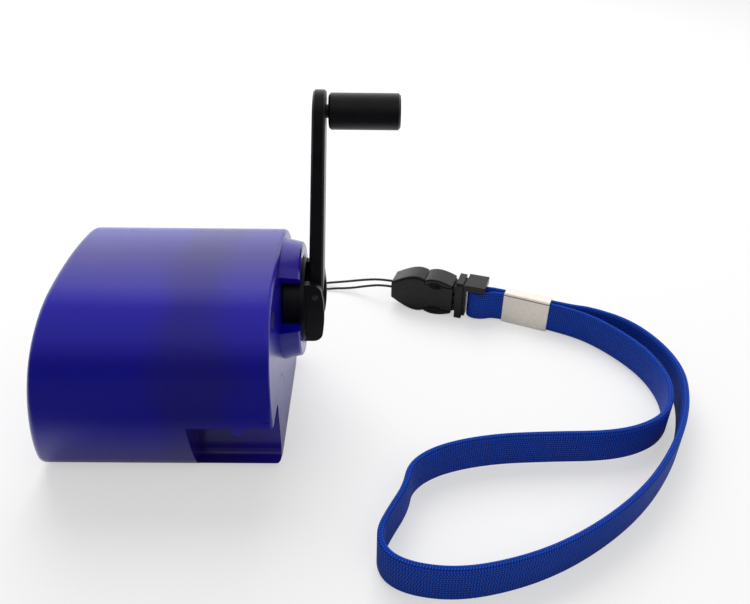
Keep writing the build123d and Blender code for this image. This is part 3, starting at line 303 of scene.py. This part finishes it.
# --- Crank --------------------------------------------------------------------------------
# Hub, arm and grip are moulded in black nylon. Their faces are satin, with a fine mottle from
# handling.


def fine_bump(tree, shader, height, strength, distance):
    """Raises the surface by a pattern, over so many metres."""
    bump = tree.nodes.new("ShaderNodeBump")
    bump.inputs["Strength"].default_value = strength
    bump.inputs["Distance"].default_value = distance
    tree.links.new(height, bump.inputs["Height"])
    tree.links.new(bump.outputs["Normal"], shader.inputs["Normal"])


crank_black, tree, shader = new_material("crank_black")
mottle = object_pattern(tree, "ShaderNodeTexNoise", 340.0, 5.0)
tinted(tree, shader, mottle.outputs["Fac"], (0.004, 0.004, 0.005), (0.007, 0.007, 0.008))
satin = object_pattern(tree, "ShaderNodeTexNoise", 2600.0, 3.0)
tree.links.new(spread(tree, satin.outputs["Fac"], 0.26, 0.42), shader.inputs["Roughness"])
fine_bump(tree, shader, satin.outputs["Fac"], 0.05, 0.00005)
shader.inputs["Specular IOR Level"].default_value = 0.26
for node in ("crank_hub", "crank_arm", "handle_grip"):
    dress(node, crank_black)

# --- Buckle -------------------------------------------------------------------------------
# A small side release buckle in black acetal, a little glossier than the crank. The socket is
# on the string and the clip on the strap.
buckle_black, tree, shader = new_material("buckle_black")
mottle = object_pattern(tree, "ShaderNodeTexNoise", 420.0, 5.0)
tinted(tree, shader, mottle.outputs["Fac"], (0.004, 0.004, 0.005), (0.008, 0.008, 0.009))
satin = object_pattern(tree, "ShaderNodeTexNoise", 3000.0, 3.0)
tree.links.new(spread(tree, satin.outputs["Fac"], 0.2, 0.36), shader.inputs["Roughness"])
fine_bump(tree, shader, satin.outputs["Fac"], 0.04, 0.00004)
shader.inputs["Specular IOR Level"].default_value = 0.24
for node in ("buckle_socket", "buckle_clip"):
    dress(node, buckle_black)

# --- Crimp --------------------------------------------------------------------------------
# A bent sleeve of thin nickel plated steel, pressed flat over the strap's two layers. Its
# dark seam runs along the upper edge.
crimp_metal, tree, shader = new_material("crimp_metal")
brush = object_pattern(tree, "ShaderNodeTexNoise", 900.0, 4.0)
plating = shades(tree, brush.outputs["Fac"], [
    (0.3, (0.80, 0.73, 0.63)), (0.7, (0.86, 0.79, 0.69))])
place = tree.nodes.new("ShaderNodeTexCoord")
split = tree.nodes.new("ShaderNodeSeparateXYZ")
tree.links.new(place.outputs["Object"], split.inputs["Vector"])
seam_low, seam_high, seam_blur, seam_depth = 0.01005, 0.01050, 0.00015, 0.85
over = step_up(tree, split.outputs["Z"], seam_low, seam_low + seam_blur)
below = step_up(tree, split.outputs["Z"], seam_high - seam_blur, seam_high)
under = calc(tree, "SUBTRACT", 1.0, below)
seam = tree.nodes.new("ShaderNodeMix")
seam.data_type = "RGBA"
seam_line = calc(tree, "MULTIPLY", calc(tree, "MULTIPLY", over, under), seam_depth)
tree.links.new(seam_line, seam.inputs["Factor"])
tree.links.new(plating, seam.inputs["A"])
seam.inputs["B"].default_value = (0.02, 0.02, 0.03, 1)
tree.links.new(seam.outputs["Result"], shader.inputs["Base Color"])
tree.links.new(spread(tree, brush.outputs["Fac"], 0.32, 0.42), shader.inputs["Roughness"])
shader.inputs["Metallic"].default_value = 0.15
dress("strap_crimp", crimp_metal)

# --- String loop --------------------------------------------------------------------------
# One 0.8 mm braided black string. Both its ends are moulded into the buckle's nose, and its
# loop passes through the lanyard eye on the far side of the case.
string_radius = 0.0004
string_route = [
    (0.061627, 0.054436, 0.0077), (0.056206, 0.056198, 0.0077), (0.0500, 0.0596, 0.0054),
    (0.0436, 0.0632, 0.0024), (0.0360, 0.0650, 0.0006), (0.0275, 0.0630, 0.0005),
    (0.0214, 0.0566, 0.0016), (0.0170, 0.0476, 0.0048), (0.0155, 0.0390, 0.0120),
    (0.0151, 0.0348, 0.0174), (0.0150, 0.0301, 0.0168), (0.0150, 0.0301, 0.0112),
    (0.0152, 0.0346, 0.0103), (0.0160, 0.0396, 0.0068), (0.0188, 0.0476, 0.0022),
    (0.0240, 0.0550, 0.0005), (0.0310, 0.0600, 0.0005), (0.0385, 0.0614, 0.0006),
    (0.0454, 0.0600, 0.0017), (0.0510, 0.0580, 0.0039), (0.056396, 0.056136, 0.0055),
    (0.061627, 0.054436, 0.0055),
]


def smooth_line(name, route):
    """A curve object with one NURBS spline through the route's hull."""
    curve = bpy.data.curves.new(name, "CURVE")
    curve.dimensions = "3D"
    spline = curve.splines.new("NURBS")
    spline.points.add(len(route) - 1)
    for point, place in zip(spline.points, route):
        point.co = (*place, 1.0)
    spline.order_u = 3
    spline.use_endpoint_u = True
    spline.resolution_u = 12
    line = bpy.data.objects.new(name, curve)
    bpy.context.scene.collection.objects.link(line)
    return line


def points_along(line):
    """The points of a bare curve, in order."""
    bare = bpy.data.meshes.new_from_object(line)
    places = [vertex.co.copy() for vertex in bare.vertices]
    bpy.data.meshes.remove(bare)
    return places


def length_along(places):
    """How long the line through the points is."""
    return sum((b - a).length for a, b in zip(places, places[1:]))


string_line = smooth_line("string_cord", string_route)
string_length = length_along(points_along(string_line))
string_line.data.bevel_depth = string_radius
string_line.data.bevel_resolution = 3
string_line.data.use_fill_caps = True
string_black, tree, shader = new_material("string_black")
twist = object_pattern(tree, "ShaderNodeTexNoise", 2600.0, 3.0)
tinted(tree, shader, twist.outputs["Fac"], (0.012, 0.012, 0.016), (0.05, 0.05, 0.06))
shader.inputs["Roughness"].default_value = 0.8
fine_bump(tree, shader, twist.outputs["Fac"], 0.5, 0.0003)
string_line.data.materials.append(string_black)
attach(string_line, "case")
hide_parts("string_loop")

# --- Wrist strap --------------------------------------------------------------------------
# A flat woven polyester band, 10 mm wide and 1.6 mm thick, that stands on its edge. It goes
# round the buckle's bar, through the crimp and round in the wrist's loop back to the crimp.
strap_width = 0.0100
strap_thickness = 0.0016
strap_low = 0.0005
strap_route = [
    (0.102277, 0.042615), (0.093771, 0.046435), (0.089768, 0.047274), (0.085379, 0.048700),
    (0.084081, 0.044706), (0.088470, 0.043280), (0.093079, 0.044881), (0.113816, 0.035648),
    (0.1217, 0.0299), (0.1294, 0.0194), (0.1333, 0.0093), (0.1336, -0.0020),
    (0.1292, -0.0118), (0.1218, -0.0172), (0.1120, -0.0200), (0.0972, -0.0204),
    (0.0820, -0.0214), (0.0690, -0.0250), (0.0618, -0.0306), (0.0604, -0.0376),
    (0.0567, -0.0444), (0.0542, -0.0500), (0.0552, -0.0554), (0.0606, -0.0588),
    (0.0706, -0.0600), (0.0823, -0.0576), (0.0934, -0.0532), (0.1047, -0.0463),
    (0.1151, -0.0378), (0.1238, -0.0279), (0.1311, -0.0170), (0.1362, -0.0059),
    (0.1390, 0.0056), (0.1372, 0.0178), (0.1312, 0.0292), (0.1212, 0.0358),
    (0.114508, 0.037201), (0.102645, 0.042452),
]
strap_height = strap_low + strap_width / 2
strap_line = smooth_line("strap_line", [(x, y, strap_height) for x, y in strap_route])
strap_points = points_along(strap_line)
bpy.data.objects.remove(strap_line)

# The band's section, round its edge: flat faces, rounded selvedges.
bend = strap_thickness / 2
selvedge = []
for quarter, up in enumerate((1, 1, -1, -1)):
    for step in range(4):
        turn = math.radians(90 * quarter + 30 * step)
        height = up * (strap_width / 2 - bend) + bend * math.sin(turn)
        selvedge.append((bend * math.cos(turn), height))
band = bmesh.new()
band_uv = band.loops.layers.uv.new("weave")
uv_per_metre = 100
rings = []
run = [0.0]
for a, b in zip(strap_points, strap_points[1:]):
    run.append(run[-1] + (b - a).length)
for k, place in enumerate(strap_points):
    before = strap_points[max(k - 1, 0)]
    after = strap_points[min(k + 1, len(strap_points) - 1)]
    ahead = (after - before).normalized()
    out = Vector((-ahead.y, ahead.x, 0)).normalized()
    rings.append([band.verts.new(place + out * x + Vector((0, 0, z))) for x, z in selvedge])
rim = [0.0]
for (x0, z0), (x1, z1) in zip(selvedge, selvedge[1:] + selvedge[:1]):
    rim.append(rim[-1] + math.hypot(x1 - x0, z1 - z0))
for k in range(len(rings) - 1):
    for j in range(len(selvedge)):
        n = (j + 1) % len(selvedge)
        face = band.faces.new((rings[k][j], rings[k][n], rings[k + 1][n], rings[k + 1][j]))
        face.smooth = True
        places = ((k, j), (k, j + 1), (k + 1, j + 1), (k + 1, j))
        for loop, (row, column) in zip(face.loops, places):
            loop[band_uv].uv = (run[row] * uv_per_metre, rim[column] * uv_per_metre)
band.faces.new(rings[0])
band.faces.new(rings[-1][::-1])
bmesh.ops.recalc_face_normals(band, faces=band.faces)
strap_mesh = bpy.data.meshes.new("strap_band")
band.to_mesh(strap_mesh)
band.free()
strap_band = bpy.data.objects.new("strap_band", strap_mesh)
bpy.context.scene.collection.objects.link(strap_band)

strap_blue, tree, shader = new_material("strap_blue")
layout = tree.nodes.new("ShaderNodeUVMap")
layout.uv_map = "weave"
split_uv = tree.nodes.new("ShaderNodeSeparateXYZ")
tree.links.new(layout.outputs["UV"], split_uv.inputs["Vector"])

# Ribs run along the band, 14 to the centimetre of its face, each a row of slanted stitches.
ribs, stitches, stitch_slant = 14.0, 16.0, 0.55
along, across = split_uv.outputs["X"], split_uv.outputs["Y"]
rib = calc(tree, "PINGPONG", calc(tree, "MULTIPLY", across, ribs), 1.0)
slant = calc(tree, "MULTIPLY", rib, stitch_slant)
turns = calc(tree, "ADD", calc(tree, "MULTIPLY", along, stitches), slant)
stitch = calc(tree, "SINE", calc(tree, "MULTIPLY", turns, math.tau))
ridge = calc(tree, "ADD", calc(tree, "MULTIPLY", stitch, 0.5), 0.5)
rib_body = calc(tree, "SINE", calc(tree, "MULTIPLY", across, ribs * math.tau))
weave_height_and_shade = calc(tree, "ADD", calc(tree, "MULTIPLY", ridge, 0.6),
                    calc(tree, "MULTIPLY", rib_body, 0.2))
# The weave's colour is painted darker in its grooves and lighter on its ridges: painted shade
# and highlight, following the same height that drives the bump.
tinted(tree, shader, weave_height_and_shade, (0.001, 0.018, 0.21), (0.008, 0.095, 0.60))
fine_bump(tree, shader, weave_height_and_shade, 0.45, 0.0002)
shader.inputs["Roughness"].default_value = 0.62
shader.inputs["Specular IOR Level"].default_value = 0.16
shader.inputs["Sheen Weight"].default_value = 0.03
shader.inputs["Sheen Roughness"].default_value = 0.4
strap_mesh.materials.append(strap_blue)
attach(strap_band, "clip")
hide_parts("wrist_strap")

# --- Floor, light and camera ----------------------------------------------------------------
# A pale floor under the part, one wide lamp above and behind it and a soft one in front. To
# the camera the floor glows a little, so it runs into the white background.
floor_size = 6.0
floor_glow = 0.52
bpy.ops.mesh.primitive_plane_add(size=floor_size, location=(0, 0, 0))
floor = bpy.context.object
floor.name = "studio_floor"
floor_pale, tree, shader = new_material("floor_pale")
shader.inputs["Base Color"].default_value = (0.86, 0.86, 0.86, 1)
shader.inputs["Roughness"].default_value = 0.45
shader.inputs["Specular IOR Level"].default_value = 0.3
glow = tree.nodes.new("ShaderNodeEmission")
glow.inputs["Color"].default_value = (0.97, 0.97, 0.965, 1)
rays = tree.nodes.new("ShaderNodeLightPath")
share = calc(tree, "MULTIPLY", rays.outputs["Is Camera Ray"], floor_glow)
mixer = tree.nodes.new("ShaderNodeMixShader")
tree.links.new(share, mixer.inputs["Fac"])
tree.links.new(shader.outputs["BSDF"], mixer.inputs[1])
tree.links.new(glow.outputs["Emission"], mixer.inputs[2])
# In reflections the floor in front of the part falls off into the dark of the room.
place = tree.nodes.new("ShaderNodeTexCoord")
split = tree.nodes.new("ShaderNodeSeparateXYZ")
tree.links.new(place.outputs["Object"], split.inputs["Vector"])
dark_start, dark_full, darkness = -0.029, -0.052, 0.96
far_front = step_up(tree, split.outputs["Y"], dark_start, dark_full)
mirrored = calc(tree, "MULTIPLY", rays.outputs["Is Glossy Ray"], far_front)
dim = calc(tree, "MULTIPLY", mirrored, darkness)
shade = tree.nodes.new("ShaderNodeBsdfDiffuse")
shade.inputs["Color"].default_value = (0.03, 0.03, 0.035, 1)
fall = tree.nodes.new("ShaderNodeMixShader")
tree.links.new(dim, fall.inputs["Fac"])
tree.links.new(mixer.outputs["Shader"], fall.inputs[1])
tree.links.new(shade.outputs["BSDF"], fall.inputs[2])
tree.links.new(fall.outputs["Shader"], tree.nodes["Material Output"].inputs["Surface"])
floor.data.materials.append(floor_pale)

world = bpy.data.worlds.new("studio")
bpy.context.scene.world = world
world.use_nodes = True
tree = world.node_tree
ground = tree.nodes["Background"]
ground.inputs["Color"].default_value = (0.97, 0.97, 0.97, 1)
rays = tree.nodes.new("ShaderNodeLightPath")
# Reflections see a bright sweep behind the part, a plain ceiling and a dark room in front.
backdrop, room_light, fill_light = 0.97, 1.5, 0.42
place = tree.nodes.new("ShaderNodeTexCoord")
split = tree.nodes.new("ShaderNodeSeparateXYZ")
tree.links.new(place.outputs["Generated"], split.inputs["Vector"])
ahead = calc(tree, "MULTIPLY", split.outputs["Y"], -1.0)
lean = calc(tree, "ARCTAN2", split.outputs["Z"], ahead)
room = shades(tree, calc(tree, "DIVIDE", lean, math.pi), [
    (0.0, (0.04, 0.04, 0.04)), (0.06, (0.05, 0.05, 0.05)), (0.17, (0.18, 0.18, 0.18)),
    (0.27, (0.33, 0.33, 0.33)), (0.40, (0.38, 0.38, 0.38)), (0.50, (0.36, 0.36, 0.36)),
    (0.64, (0.62, 0.62, 0.62)), (0.80, (1.0, 1.0, 1.0))])
glossy, direct_view = rays.outputs["Is Glossy Ray"], rays.outputs["Is Camera Ray"]
seen = calc(tree, "MULTIPLY", calc(tree, "MULTIPLY", glossy, room), room_light)
plain = calc(tree, "MULTIPLY", calc(tree, "SUBTRACT", 1.0, glossy), fill_light)
indirect = calc(tree, "ADD", seen, plain)
direct = calc(tree, "MULTIPLY", direct_view, backdrop)
others = calc(tree, "MULTIPLY", calc(tree, "SUBTRACT", 1.0, direct_view), indirect)
tree.links.new(calc(tree, "ADD", direct, others), ground.inputs["Strength"])


def soft_lamp(name, place, aim, size, power):
    """A square area lamp that looks at a point."""
    lamp = bpy.data.lights.new(name, "AREA")
    lamp.energy = power
    lamp.size = size
    stand = bpy.data.objects.new(name, lamp)
    stand.location = place
    direction = Vector(aim) - Vector(place)
    stand.rotation_euler = direction.to_track_quat("-Z", "Y").to_euler()
    stand.visible_glossy = False
    bpy.context.scene.collection.objects.link(stand)


soft_lamp("overhead_lamp", (-0.05, 0.45, 0.62), (0.02, 0.0, 0.0), 0.6, 5.5)
soft_lamp("front_lamp", (0.35, -0.45, 0.75), (0.03, 0.0, 0.03), 0.5, 1.4)

# The camera stands where the edges of the case, the crank and the strap place it.
camera_place = (0.05183, -0.15086, 0.13323)
camera_pitch = 33.056
camera_yaw = -0.513
camera_roll = 0.742
camera_lens = 34.354
camera_data = bpy.data.cameras.new("camera")
camera_data.sensor_width = 36.0
camera_data.lens = camera_lens
camera = bpy.data.objects.new("camera", camera_data)
bpy.context.scene.collection.objects.link(camera)
bpy.context.scene.camera = camera
camera.matrix_world = (
    Matrix.Translation(camera_place)
    @ Matrix.Rotation(math.radians(camera_yaw), 4, "Z")
    @ Matrix.Rotation(math.radians(90 - camera_pitch), 4, "X")
    @ Matrix.Rotation(math.radians(camera_roll), 4, "Z")
)

scene = bpy.context.scene
scene.view_settings.view_transform = "Standard"
